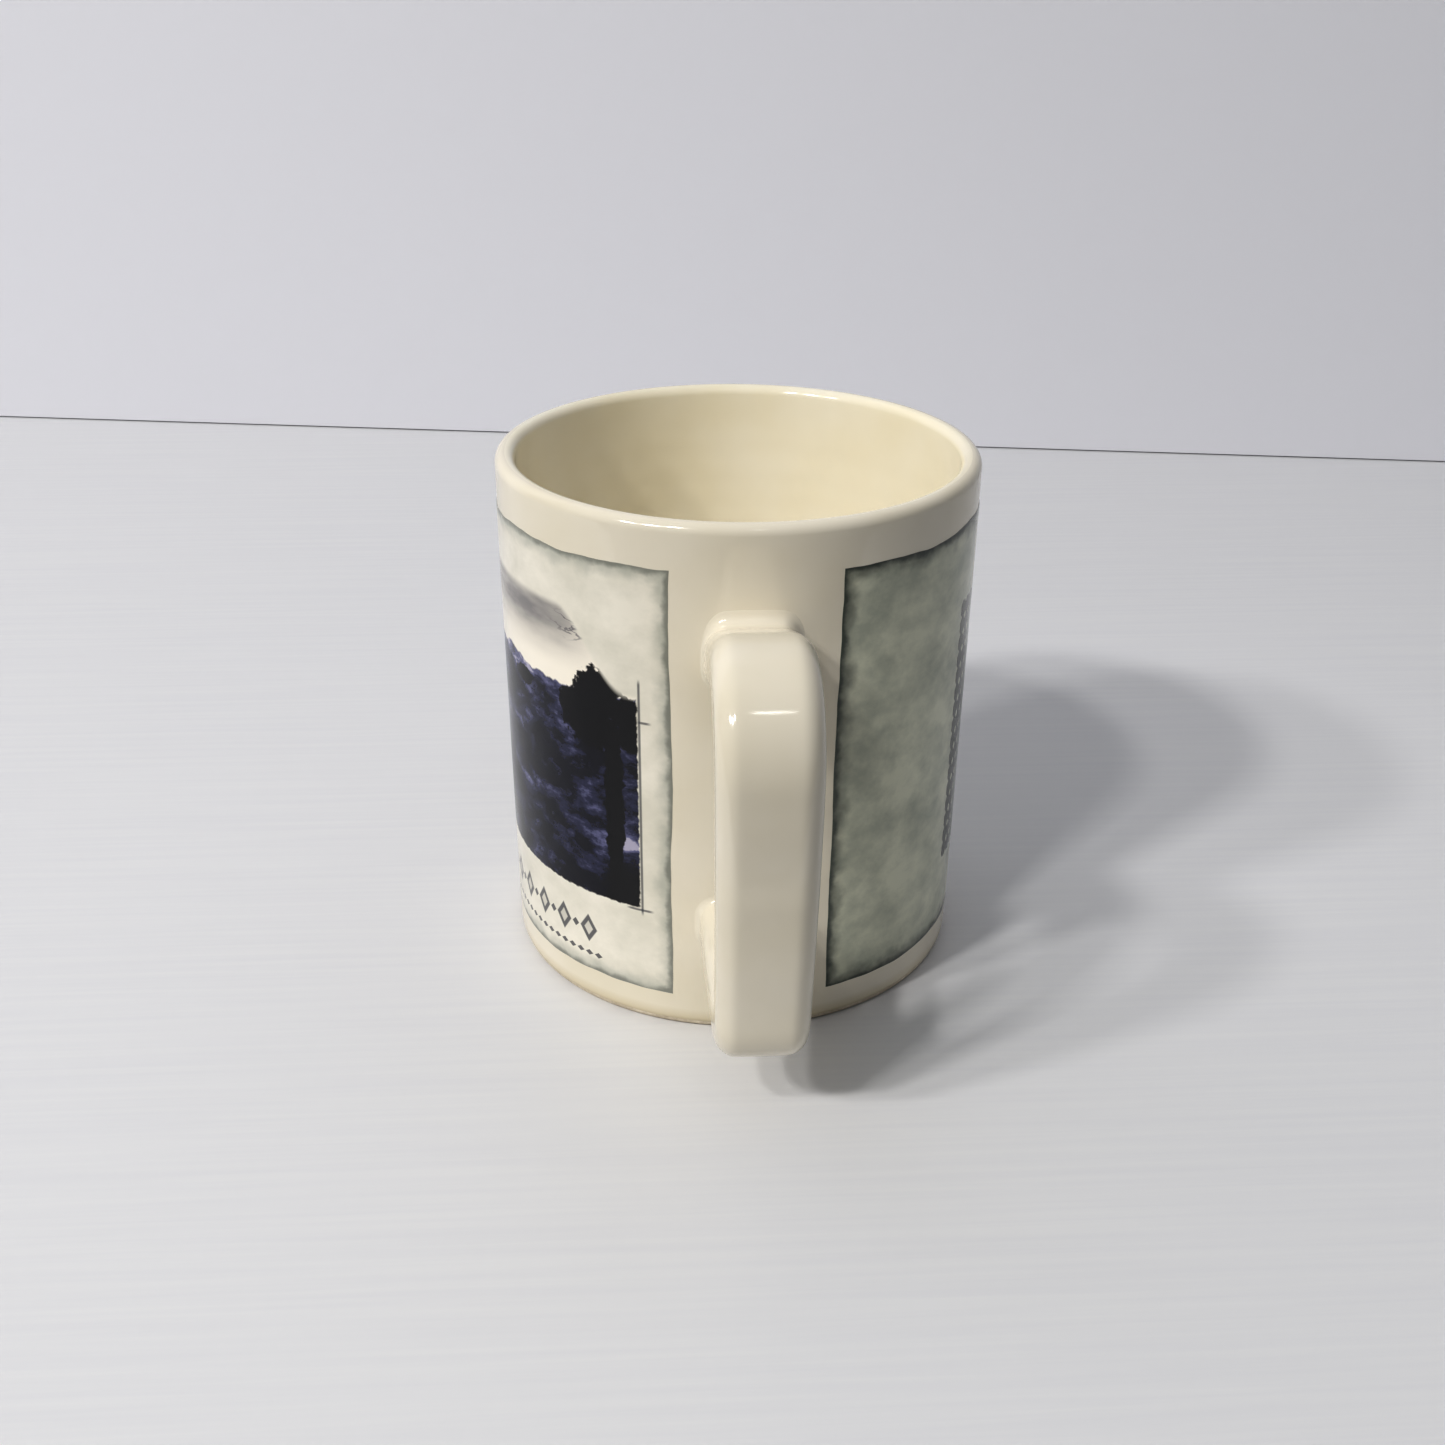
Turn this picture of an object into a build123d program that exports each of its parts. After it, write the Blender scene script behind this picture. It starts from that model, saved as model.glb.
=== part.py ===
"""A straight-sided glazed ceramic mug with one ear handle and two printed transfer panels.

Origin: centre of the foot ring's resting plane. +Z up, +X along the handle. Millimetres.
Each piece is one solid: the fired body, the handle, the slip that lutes them together,
the glaze coats that lie on them and the transfers that lie on the glaze.
"""

from build123d import *
import math
import os

os.makedirs("parts", exist_ok=True)

# Cup: overall sizes, over the glaze
height = 91.0
rim_radius = 41.0
base_radius = 40.0

# Cup: fired body under the glaze
lip_thickness = 2.8
wall_foot_thickness = 4.2
floor_thickness = 5.0
floor_corner_radius = 9.0
lip_flat = 0.1
foot_ring_width = 4.5
foot_recess_depth = 2.2
foot_recess_draft = 0.8
foot_recess_corner_radius = 1.2
foot_edge_radius = 0.6
heel_radius = 1.2

# Glaze
glaze_thickness = 0.3
bare_foot_height = 1.4
bare_ring_margin = 0.9

# Handle: a strap of rounded section that rises from the wall, turns over a broad
# shoulder, drops, curves in towards the foot and climbs back through a tight lower bend
strap_width = 15.0
strap_thickness = 9.0
strap_corner_radius = 3.6
handle_reach = 34.0
upper_root_height = 69.3
lower_root_height = 21.0
upper_arm_rise = 20.0
lower_arm_drop = 4.2
strap_lean = 4.2
back_turn_height = 46.0
back_radius = 180.0
shoulder_radius = 11.5
lower_bend_radius = 5.8

# Luting slip between the handle's ends and the wall
slip_thickness = 0.7
bead_width = 1.8
bead_reach = 2.6

# Transfers: angles are measured round the cup from the handle, in degrees
transfer_thickness = 0.08
panel_bottom = 6.2
panel_rim_margin = 7.0
left_panel_gap = 18.0
right_panel_gap = 19.0
panel_arc = 137.0

# Dependent sizes
body_top = height - glaze_thickness
body_rim_radius = rim_radius - glaze_thickness
body_base_radius = base_radius - glaze_thickness
floor_top = foot_recess_depth + floor_thickness
lip_radius = (lip_thickness - lip_flat) / 2
inner_base_radius = body_base_radius - wall_foot_thickness
ring_inside_radius = body_base_radius - foot_ring_width
root_depth = wall_foot_thickness
strap_centre_radius = rim_radius + handle_reach - glaze_thickness - strap_thickness / 2
panel_top = height - panel_rim_margin
outside_reach = 2 * (rim_radius + handle_reach)


def glazed_radius(z):
    """Outside radius of the glazed wall at height z. The coat's section starts one coat lower."""
    share = (z + glaze_thickness) / (height + glaze_thickness)
    return base_radius + (rim_radius - base_radius) * share


def body_radius(z):
    """Outside radius of the fired wall at height z."""
    return body_base_radius + (body_rim_radius - body_base_radius) * z / body_top


def wall_middle_radius(z):
    """Radius half-way through the body's wall at height z."""
    share = (z - floor_top) / (body_top - floor_top)
    inner = inner_base_radius + (body_rim_radius - lip_thickness - inner_base_radius) * share
    return (body_radius(z) + inner) / 2


def cup_outline(coat):
    """Corners and corner radii of half the cup's section, grown by a coat all round."""
    corners = [
        (0, foot_recess_depth - coat),
        (ring_inside_radius - foot_recess_draft - coat, foot_recess_depth - coat),
        (ring_inside_radius - coat, -coat),
        (body_base_radius + coat, -coat),
        (body_rim_radius + coat, body_top + coat),
        (body_rim_radius - lip_thickness - coat, body_top + coat),
        (inner_base_radius - coat, floor_top + coat),
        (0, floor_top + coat),
    ]
    radii = [
        foot_recess_corner_radius,
        foot_edge_radius + coat,
        heel_radius + coat,
        lip_radius + coat,
        lip_radius + coat,
        floor_corner_radius - coat,
    ]
    return corners, radii


def cup_section(coat):
    """Half the cup's section as a face, grown by a coat all round."""
    corners, radii = cup_outline(coat)
    with BuildSketch(Plane.XZ) as section:
        with BuildLine():
            FilletPolyline(*corners, radius=radii)
            Line(corners[-1], corners[0])
        make_face()
    return section.sketch


def glaze_section(zone):
    """The part of the glaze's section that lies inside a zone given by its corners."""
    with BuildSketch(Plane.XZ) as section:
        with BuildLine():
            Polyline(*zone, close=True)
        make_face()
        add(cup_section(glaze_thickness), mode=Mode.INTERSECT)
        add(cup_section(0), mode=Mode.SUBTRACT)
    return section.sketch


def filled_cup(growth):
    """The cup's outer shape as one solid block, grown by a clearance."""
    with BuildPart() as block:
        with BuildSketch(Plane.XZ):
            Polygon(
                (0, -growth),
                (body_base_radius + growth, -growth),
                (body_rim_radius + growth, body_top + growth),
                (0, body_top + growth),
                align=None,
            )
        revolve(axis=Axis.Z)
    return block.part


def handle_path():
    """Centre line of the handle, from inside the wall at the top to inside it at the bottom."""
    upper_wall_radius = body_radius(upper_root_height)
    lower_wall_radius = body_radius(lower_root_height)
    lower_corner_radius = strap_centre_radius - strap_lean
    slope_above = math.tan(math.radians(upper_arm_rise))
    slope_below = lower_arm_drop / (lower_corner_radius - lower_wall_radius)
    shoulder_rise = (strap_centre_radius - upper_wall_radius) * slope_above
    with BuildLine(Plane.XZ) as path:
        FilletPolyline(
            (upper_wall_radius - root_depth, upper_root_height - root_depth * slope_above),
            (strap_centre_radius, upper_root_height + shoulder_rise),
            (strap_centre_radius, back_turn_height),
            (lower_corner_radius, lower_root_height - lower_arm_drop),
            (lower_wall_radius - root_depth, lower_root_height + root_depth * slope_below),
            radius=[shoulder_radius, back_radius, lower_bend_radius],
        )
    return path.line


def strap(coat):
    """The handle's strap, grown by a coat, with both ends still inside the wall."""
    path = handle_path()
    with BuildPart() as solid:
        with BuildSketch(Plane(origin=path @ 0, x_dir=(0, 1, 0), z_dir=path % 0)):
            RectangleRounded(
                strap_width + 2 * coat,
                strap_thickness + 2 * coat,
                strap_corner_radius + coat,
            )
        sweep(path=path)
    return solid.part


def root_planes(position):
    """Planes across the path's end at the wall: the bead's outer end and its wide inner end."""
    path = handle_path()
    end_point = path @ position
    outward = (path % position) * (1 if position == 0 else -1)
    run = (root_depth + bead_reach) / outward.X
    outer_end = Plane(origin=end_point + outward * run, x_dir=(0, 1, 0), z_dir=outward)
    depth = bead_reach + root_depth
    return outer_end, outer_end.offset(-depth), depth


def bead(position, coat):
    """A flared collar round the end of the strap, widest where it meets the wall."""
    outer_end, inner_end, depth = root_planes(position)
    spread = bead_width * depth / bead_reach
    with BuildPart() as collar:
        with BuildSketch(outer_end):
            RectangleRounded(
                strap_width + 2 * coat,
                strap_thickness + 2 * coat,
                strap_corner_radius + coat,
            )
        with BuildSketch(inner_end):
            RectangleRounded(
                strap_width + 2 * (coat + spread),
                strap_thickness + 2 * (coat + spread),
                strap_corner_radius + coat + spread,
            )
        loft(ruled=True)
    return collar.part


def slip_joint(position):
    """The slip that fills the gap behind one end of the handle and beads round it."""
    with BuildPart() as joint:
        add(bead(position, 0))
        add(handle.part, mode=Mode.SUBTRACT)
        add(filled_cup(0), mode=Mode.SUBTRACT)
    return joint.part


def transfer_panel(start_angle):
    """One transfer: a thin skin on the glaze from start_angle round the panel's arc."""
    with BuildPart() as panel:
        with BuildSketch(Plane.XZ.rotated((0, 0, start_angle))):
            Polygon(
                (glazed_radius(panel_bottom), panel_bottom),
                (glazed_radius(panel_bottom) + transfer_thickness, panel_bottom),
                (glazed_radius(panel_top) + transfer_thickness, panel_top),
                (glazed_radius(panel_top), panel_top),
                align=None,
            )
        revolve(axis=Axis.Z, revolution_arc=panel_arc)
    return panel.part


# Fired body of the cup: wall, rounded lip, floor and foot ring
with BuildPart() as cup_body:
    with BuildSketch(Plane.XZ):
        add(cup_section(0))
    revolve(axis=Axis.Z)
cup_body.part.label = "cup_body"

# Handle: its ends are mitred to the wall, one slip thickness away from it
with BuildPart() as handle:
    add(strap(0))
    add(filled_cup(slip_thickness), mode=Mode.SUBTRACT)
handle.part.label = "handle"

# Luting slip at the handle's two ends
with BuildPart() as upper_slip_joint:
    add(slip_joint(0))
upper_slip_joint.part.label = "upper_slip_joint"

with BuildPart() as lower_slip_joint:
    add(slip_joint(1))
lower_slip_joint.part.label = "lower_slip_joint"

# Glaze round the handle and its slip beads, down to the wall's fired body
with BuildPart() as handle_coat:
    add(strap(glaze_thickness))
    add(bead(0, glaze_thickness))
    add(bead(1, glaze_thickness))
    add(filled_cup(0), mode=Mode.SUBTRACT)

with BuildPart() as handle_glaze:
    add(handle_coat.part)
    add(handle.part, mode=Mode.SUBTRACT)
    add(upper_slip_joint.part, mode=Mode.SUBTRACT)
    add(lower_slip_joint.part, mode=Mode.SUBTRACT)
handle_glaze.part.label = "handle_glaze"

# Glaze on the outside of the wall, from the bare foot to the crest of the lip
lip_crest_radius = body_rim_radius - lip_thickness / 2
wall_root_radius = wall_middle_radius(floor_top)
with BuildPart() as outer_glaze:
    with BuildSketch(Plane.XZ):
        add(
            glaze_section(
                [
                    (lip_crest_radius, height + glaze_thickness),
                    (lip_crest_radius, body_top - lip_radius),
                    (wall_root_radius, floor_top),
                    (wall_root_radius, bare_foot_height),
                    (outside_reach, bare_foot_height),
                    (outside_reach, height + glaze_thickness),
                ]
            )
        )
    revolve(axis=Axis.Z)
    add(handle_coat.part, mode=Mode.SUBTRACT)
outer_glaze.part.label = "outer_glaze"

# Glaze inside the cup, from the crest of the lip over the wall and floor
with BuildPart() as inner_glaze:
    with BuildSketch(Plane.XZ):
        add(
            glaze_section(
                [
                    (lip_crest_radius, height + glaze_thickness),
                    (lip_crest_radius, body_top - lip_radius),
                    (wall_root_radius, floor_top),
                    (wall_root_radius, floor_top - floor_thickness / 2),
                    (0, floor_top - floor_thickness / 2),
                    (0, height + glaze_thickness),
                ]
            )
        )
    revolve(axis=Axis.Z)
inner_glaze.part.label = "inner_glaze"

# Glaze under the floor, inside the bare foot ring
with BuildPart() as foot_recess_glaze:
    with BuildSketch(Plane.XZ):
        add(
            glaze_section(
                [
                    (0, foot_recess_depth / 2),
                    (ring_inside_radius - foot_recess_draft - bare_ring_margin, foot_recess_depth / 2),
                    (ring_inside_radius - foot_recess_draft - bare_ring_margin, floor_top),
                    (0, floor_top),
                ]
            )
        )
    revolve(axis=Axis.Z)
foot_recess_glaze.part.label = "foot_recess_glaze"

# Printed transfers, fired on to the glaze on both sides of the handle
with BuildPart() as right_panel_transfer:
    add(transfer_panel(right_panel_gap))
right_panel_transfer.part.label = "right_panel_transfer"

with BuildPart() as left_panel_transfer:
    add(transfer_panel(-left_panel_gap - panel_arc))
left_panel_transfer.part.label = "left_panel_transfer"

export_step(cup_body.part, "parts/cup_body.step")
export_step(handle.part, "parts/handle.step")
export_step(upper_slip_joint.part, "parts/upper_slip_joint.step")
export_step(lower_slip_joint.part, "parts/lower_slip_joint.step")
export_step(outer_glaze.part, "parts/outer_glaze.step")
export_step(inner_glaze.part, "parts/inner_glaze.step")
export_step(handle_glaze.part, "parts/handle_glaze.step")
export_step(foot_recess_glaze.part, "parts/foot_recess_glaze.step")
export_step(right_panel_transfer.part, "parts/right_panel_transfer.step")
export_step(left_panel_transfer.part, "parts/left_panel_transfer.step")
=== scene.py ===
import math

import bmesh
import bpy
from mathutils import Matrix, Vector, noise


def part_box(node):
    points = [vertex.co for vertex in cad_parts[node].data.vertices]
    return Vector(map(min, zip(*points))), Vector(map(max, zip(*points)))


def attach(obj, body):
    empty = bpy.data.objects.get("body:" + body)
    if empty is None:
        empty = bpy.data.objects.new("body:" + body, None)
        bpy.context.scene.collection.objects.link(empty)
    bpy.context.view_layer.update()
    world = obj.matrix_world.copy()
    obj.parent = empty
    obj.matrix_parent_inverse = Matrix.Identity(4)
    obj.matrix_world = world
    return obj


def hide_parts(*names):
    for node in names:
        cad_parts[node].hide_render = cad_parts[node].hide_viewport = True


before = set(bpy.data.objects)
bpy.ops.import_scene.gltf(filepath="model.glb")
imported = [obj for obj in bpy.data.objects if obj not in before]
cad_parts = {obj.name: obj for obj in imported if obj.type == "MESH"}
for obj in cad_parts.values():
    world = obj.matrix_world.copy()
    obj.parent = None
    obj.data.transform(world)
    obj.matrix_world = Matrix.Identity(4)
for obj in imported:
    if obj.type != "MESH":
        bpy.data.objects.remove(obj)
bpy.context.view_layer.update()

MM = 0.001


def outer_radius(node, low, high):
    """Largest radius, in mm, of a node's points between two heights."""
    points = [v.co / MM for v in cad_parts[node].data.vertices]
    return max(math.hypot(p.x, p.y) for p in points if low <= p.z <= high)


def top(node):
    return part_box(node)[1].z / MM


def bottom(node):
    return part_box(node)[0].z / MM


# Cup, from the frame
HEIGHT = top("inner_glaze")
BODY_TOP = top("cup_body")
COAT = HEIGHT - BODY_TOP
BARE_FOOT = bottom("outer_glaze")
RECESS = top("foot_recess_glaze")
FLOOR = bottom("inner_glaze")
RECESS_COAT_RADIUS = outer_radius("foot_recess_glaze", 0, RECESS)

# Cup, as the frame's body is turned
RIM_RADIUS = 41.0 - COAT
BASE_RADIUS = 40.0 - COAT
LIP_THICKNESS = 2.8
LIP_RADIUS = 1.35
WALL_AT_FLOOR = 4.2
FLOOR_CORNER = 9.0
RING_WIDTH = 4.5
RING_DRAFT = 0.8
RECESS_CORNER = 1.2
RING_EDGE = 0.6
HEEL = 1.2
CREST_RADIUS = RIM_RADIUS - LIP_THICKNESS / 2
OUTLINE_STEP = 1.6
# Height of the painted shade along the bare foot, where the cup meets the table.
FOOT_SHADE_HEIGHT = 2.2

# Handle, as the frame's strap is swept
STRAP_WIDTH = 15.0
STRAP_THICKNESS = 9.0
STRAP_CORNER = 3.2
STRAP_CROWN = 0.25
INNER_CROWN = 0.4
STRAP_TAPER = 0.935
ROOT_SPREAD = 1.04
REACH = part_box("handle_glaze")[1].x / MM - COAT - STRAP_THICKNESS / 2
UPPER_ROOT = 69.3
LOWER_ROOT = 21.0
UPPER_RISE = 20.0
LOWER_DROP = 4.2
STRAP_LEAN = 4.2
BACK_TURN = 46.0
BACK_RADIUS = 180.0
SHOULDER = 11.5
LOWER_BEND = 5.8
SLIP_GAP = 0.7
ROOT_DEPTH = 4.2
SIDE_FILLET = 0.55
TOP_FILLET = 3.0
LOWER_FILLET = 1.0
FILLET_START = 7.0
FILLET_BEDDING = 0.15
FILLET_FEATHER = 0.25
SLIP_WIDENING = 0.06
ROOT_REACH = 14.0
STRAP_STEP = 1.0

# Panels
PRINT_THICKNESS = 0.08
PANEL_LOW = bottom("left_panel_transfer")
PANEL_HIGH = top("left_panel_transfer")
LEFT_GAP = 18.0
RIGHT_GAP = 19.0
PANEL_ARC = 137.0
PANEL_WIDTH = math.radians(PANEL_ARC) * (RIM_RADIUS + COAT)
PANEL_MARGIN = 0.35
TOP_MARGIN = 0.75
SIDE_WANDER = 0.55
LOW_WANDER = 0.6
TOP_WANDER = 1.0

# Printed pictures: places are (round from the panel's handle edge, height)
LEFT_PICTURE = ((5.9, 22.3), (91.0, 60.5))
RIGHT_BLOCK = ((31.0, 20.3), (67.4, 69.58))
SKY_HEIGHT = 13.5
ORNAMENT_PITCH = 6.3

# Camera, table and backdrop
HANDLE_TURN = 3.6
EYE_DISTANCE = 318.4
EYE_ELEVATION = 25.9
AIM_HEIGHT = 38.9
EYE_SIDESTEP = -2.24
EYE_ROLL = 0.52
LENS = 43.6
SENSOR_WIDTH = 36.0
NEAREST_SEEN = 0.01
DISPLAY_GAMMA = 0.8
LAMP_DISTANCE = 1700.0
# Each lamp: which way its shadows fall and its height, in degrees, its watts, its size
LAMPS = {
    "lamp_left_high": (56.0, 48.7, 5.9, (135, 100)),
    "lamp_left_middle": (45.0, 41.7, 9.0, (135, 100)),
    "lamp_left_low": (33.0, 38.1, 6.4, (135, 100)),
    "lamp_front": (103.0, 58.0, 0.5, (150, 50)),
}
LAMP_COLOUR = (1.0, 0.985, 0.96)
ROOM_COLOUR = (0.92, 0.95, 1.0, 1.0)
ROOM_LIGHT = (0.07, 0.52)
BACKDROP_LEFT = (-226.0, 323.0)
BACKDROP_RIGHT = (194.0, 291.0)
BOARD_REACH = 900.0
BOARD_HEIGHT = 900.0
TABLE_FRONT = 145.0
JOINT_GAP = 0.45
TABLE_THICKNESS = 20.0
TABLE_UNDERLAP = 5.0
TABLE_GRAIN = (600.0, 14.0, 1.0)
TABLE_ROUGHNESS = 0.42
BOARD_GRAIN = (8.0, 8.0, 8.0)
BOARD_ROUGHNESS = 0.6

# Colours, sRGB
CREAM = "#f0e9d9"
CREAM_THICK = "#e9e1cd"
# The inside's cream is painted lighter than the outside's: painted light inside the cup.
CREAM_INSIDE_PAINTED_LIGHTER = "#faf4e3"
CREAM_INSIDE_THICK_PAINTED_LIGHTER = "#f5edd6"
# Darker cream along the bare foot: painted shade where the cup meets the table.
CREAM_FOOT_SHADE_PAINTED = "#cbbb94"
IRON_SPECK = "#8a7350"
BISCUIT_LIGHT = "#e6dcc8"
BISCUIT_DARK = "#bdb09a"
SLIP_LIGHT = "#e2d6bd"
SLIP_DARK = "#c2b294"
INK_EDGE = "#4c524c"
LEFT_PAPER = "#f4efe2"
LEFT_PAPER_DARK = "#e3dfd1"
LEFT_STAIN = "#9aa096"
RIGHT_PAPER = "#e4e5d0"
RIGHT_PAPER_DARK = "#b8bcac"
RIGHT_STAIN = "#5b6058"
SKY_PALE = "#fff8ea"
SKY_WASH = "#8e8b8a"
SKY_PEN = "#55535c"
HILL_DARK = "#080918"
HILL_MIDDLE = "#2a2c47"
HILL_LIGHT = "#66678a"
HILL_FLECK = "#b5b1c4"
TREE = "#030308"
ORNAMENT = "#343743"
BLOCK = "#1c1f26"
TABLE = "#e6e6e7"
TABLE_STREAK = "#e3e3e5"
BACKDROP = "#e9e9ee"

SOFT = {"interpolation_type": "SMOOTHSTEP"}


# ---------------------------------------------------------------- outlines and meshes


def rounded(corners, radii, turn=7.5):
    """A line through corners, with each inner corner replaced by an arc of its radius."""
    line = [Vector(corners[0])]
    for before, corner, after, radius in zip(corners, corners[1:], corners[2:], radii):
        corner = Vector(corner)
        way_in = (corner - Vector(before)).normalized()
        way_out = (Vector(after) - corner).normalized()
        bend = math.atan2(way_in.cross(way_out), way_in.dot(way_out))
        start = corner - way_in * radius * math.tan(abs(bend) / 2)
        centre = start + Vector((-way_in.y, way_in.x)) * math.copysign(radius, bend)
        steps = max(2, round(math.degrees(abs(bend)) / turn))
        for i in range(steps + 1):
            line.append(centre + Matrix.Rotation(bend * i / steps, 2) @ (start - centre))
    line.append(Vector(corners[-1]))
    return line


def divided(line, longest):
    """The same line with its long runs divided into steps."""
    out = [line[0]]
    for a, b in zip(line, line[1:]):
        steps = max(1, math.ceil((b - a).length / longest))
        out += [a.lerp(b, i / steps) for i in range(1, steps + 1)]
    return out


def piece_from(name, points, faces, material, sharp=35.0):
    """A smooth mesh object from points in mm, faces outwards, sharp only where they meet steeply."""
    mesh = bpy.data.meshes.new(name)
    mesh.from_pydata([p * MM for p in points], [], faces)
    whole = bmesh.new()
    whole.from_mesh(mesh)
    bmesh.ops.recalc_face_normals(whole, faces=whole.faces)
    if whole.calc_volume(signed=True) < 0:
        bmesh.ops.reverse_faces(whole, faces=whole.faces)
    whole.to_mesh(mesh)
    whole.free()
    mesh.shade_smooth()
    mesh.set_sharp_from_angle(angle=math.radians(sharp))
    mesh.materials.append(material)
    piece = bpy.data.objects.new(name, mesh)
    bpy.context.scene.collection.objects.link(piece)
    return piece


def bridged(rings, wrap_rings=False):
    """Points and faces that join equal rings of points one after another."""
    count = len(rings[0])
    points = [p for ring in rings for p in ring]
    faces = []
    last = len(rings) if wrap_rings else len(rings) - 1
    for i in range(last):
        a, b = i * count, (i + 1) % len(rings) * count
        for j in range(count):
            k = (j + 1) % count
            faces.append((a + j, a + k, b + k, b + j))
    return points, faces


def capped(points, faces, first, count):
    """Closes a ring of points with a fan about its middle, and gives the middle's number."""
    points.append(sum((points[first + j] for j in range(count)), Vector((0, 0, 0))) / count)
    hub = len(points) - 1
    for j in range(count):
        faces.append((first + j, first + (j + 1) % count, hub))
    return hub


def turned(name, section, material, closed=False, segments=288, unevenness=None):
    """A piece turned about the cup's axis. An open section starts and ends on the axis."""
    rings = []
    body = section if closed else section[1:-1]
    for p in body:
        ring = []
        for j in range(segments):
            angle = 2 * math.pi * j / segments
            radius = p.x + (unevenness(angle, p.y) if unevenness else 0)
            ring.append(Vector((radius * math.cos(angle), radius * math.sin(angle), p.y)))
        rings.append(ring)
    points, faces = bridged(rings, wrap_rings=closed)
    if not closed:
        for first, pole in ((0, section[0]), ((len(body) - 1) * segments, section[-1])):
            hub = capped(points, faces, first, segments)
            points[hub] = Vector((0, 0, pole.y))
    return piece_from(name, points, faces, material)


def wall_unevenness(angle, height):
    """Slight departure of the cast wall from a true cone, in mm."""
    direction = Vector((math.cos(angle), math.sin(angle), height / 45))
    return 0.05 * noise.noise(direction * 1.7)


def inner_unevenness(angle, height):
    """The wall's unevenness with the faint rings that the forming tool leaves inside."""
    depth = max(0.0, min(1.0, (height - FLOOR - 2) / 10))
    rings = 0.035 * math.sin(height * 2 * math.pi / 5.5 + noise.noise(Vector((0, 0, height / 9))) * 4)
    fade = max(0.0, min(1.0, (BODY_TOP - 3 - height) / 6))
    return (wall_unevenness(angle, height) + rings * fade) * depth


def wall_radius(height, coat):
    """Radius of the outside of the wall, over a coat."""
    share = (height + coat) / (BODY_TOP + 2 * coat)
    return (BASE_RADIUS + coat) * (1 - share) + (RIM_RADIUS + coat) * share


# ---------------------------------------------------------------- the cup


def outside_line(coat, start):
    """The wall's outside from a height up to the crest of the lip."""
    corners = [
        (wall_radius(start, coat), start),
        (RIM_RADIUS + coat, BODY_TOP + coat),
        (CREST_RADIUS, BODY_TOP + coat),
    ]
    return divided(rounded(corners, [LIP_RADIUS + coat]), OUTLINE_STEP)


def inside_line(coat):
    """From the crest of the lip down the wall's inside to the middle of the floor."""
    corners = [
        (CREST_RADIUS, BODY_TOP + coat),
        (RIM_RADIUS - LIP_THICKNESS - coat, BODY_TOP + coat),
        (BASE_RADIUS - WALL_AT_FLOOR - coat, FLOOR + coat),
        (0, FLOOR + coat),
    ]
    return divided(rounded(corners, [LIP_RADIUS + coat, FLOOR_CORNER - coat]), OUTLINE_STEP)


def foot_line():
    """Under the cup, from the middle of the recess over the resting ring to the heel."""
    ring_inside = BASE_RADIUS - RING_WIDTH
    corners = [
        (0, RECESS),
        (ring_inside - RING_DRAFT, RECESS),
        (ring_inside, 0),
        (BASE_RADIUS, 0),
        (wall_radius(BARE_FOOT, 0), BARE_FOOT),
    ]
    return divided(rounded(corners, [RECESS_CORNER, RING_EDGE, HEEL]), OUTLINE_STEP)


def fired_body(material):
    section = foot_line() + outside_line(0, BARE_FOOT)[1:] + inside_line(0)[1:]
    return turned("fired_cup_body", section, material)


def outside_glaze(material):
    """The outside coat. It thins to a rounded edge where the foot was wiped bare."""
    edge = [(-0.15, 0.02), (-0.1, 0.12), (0.1, 0.22), (0.5, 0.29)]
    rolled = [Vector((wall_radius(BARE_FOOT + z, 0) + t, BARE_FOOT + z)) for z, t in edge]
    section = rolled + outside_line(COAT, BARE_FOOT + 1.0) + outside_line(0, BARE_FOOT)[::-1]
    return turned("outside_glaze_coat", section, material, closed=True, unevenness=wall_unevenness)


def inside_glaze(material):
    section = inside_line(0)[::-1] + inside_line(COAT)
    return turned("inside_glaze_coat", section, material, unevenness=inner_unevenness)


def recess_glaze(material):
    """The pool of glaze under the floor, thickest at its rounded rim."""
    edge = RECESS_COAT_RADIUS
    corners = [
        (0, RECESS - COAT), (edge - 1.2, RECESS - COAT), (edge, RECESS - 0.05), (edge, RECESS), (0, RECESS),
    ]
    section = divided(rounded(corners, [0.5, 0.03, 0.02]), OUTLINE_STEP)
    return turned("foot_recess_glaze_coat", section, material)


# ---------------------------------------------------------------- the handle


def handle_line():
    """Side view of the strap's centre line, from inside the wall and back into it."""
    upper, lower = wall_radius(UPPER_ROOT, 0), wall_radius(LOWER_ROOT, 0)
    slope = math.tan(math.radians(UPPER_RISE))
    low_slope = LOWER_DROP / (REACH - STRAP_LEAN - lower)
    corners = [
        (upper - ROOT_DEPTH, UPPER_ROOT - ROOT_DEPTH * slope),
        (REACH, UPPER_ROOT + (REACH - upper) * slope),
        (REACH, BACK_TURN),
        (REACH - STRAP_LEAN, LOWER_ROOT - LOWER_DROP),
        (lower - ROOT_DEPTH, LOWER_ROOT + ROOT_DEPTH * low_slope),
    ]
    return divided(rounded(corners, [SHOULDER, BACK_RADIUS, LOWER_BEND], turn=4.0), STRAP_STEP)


LINE = handle_line()
LINE_STEPS = [0.0]
for a, b in zip(LINE, LINE[1:]):
    LINE_STEPS.append(LINE_STEPS[-1] + (b - a).length)
LINE_LENGTH = LINE_STEPS[-1]


def eased(share):
    """A share held between 0 and 1, with a soft start and end."""
    share = max(0.0, min(1.0, share))
    return share * share * (3 - 2 * share)


def strap_station(along):
    """Point, forward and outward directions of the strap's centre line at a distance."""
    along = max(0.0, min(LINE_LENGTH, along))
    i = next((k for k in range(1, len(LINE)) if LINE_STEPS[k] >= along), len(LINE) - 1)
    share = (along - LINE_STEPS[i - 1]) / (LINE_STEPS[i] - LINE_STEPS[i - 1])
    point = LINE[i - 1].lerp(LINE[i], share)
    before = LINE[max(0, i - 2)]
    after = LINE[min(len(LINE) - 1, i + 1)]
    chord_in = (LINE[i] - before).normalized()
    chord_out = (after - LINE[i - 1]).normalized()
    forward = chord_in.lerp(chord_out, share).normalized()
    return point, forward, Vector((-forward.y, forward.x))


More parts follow.
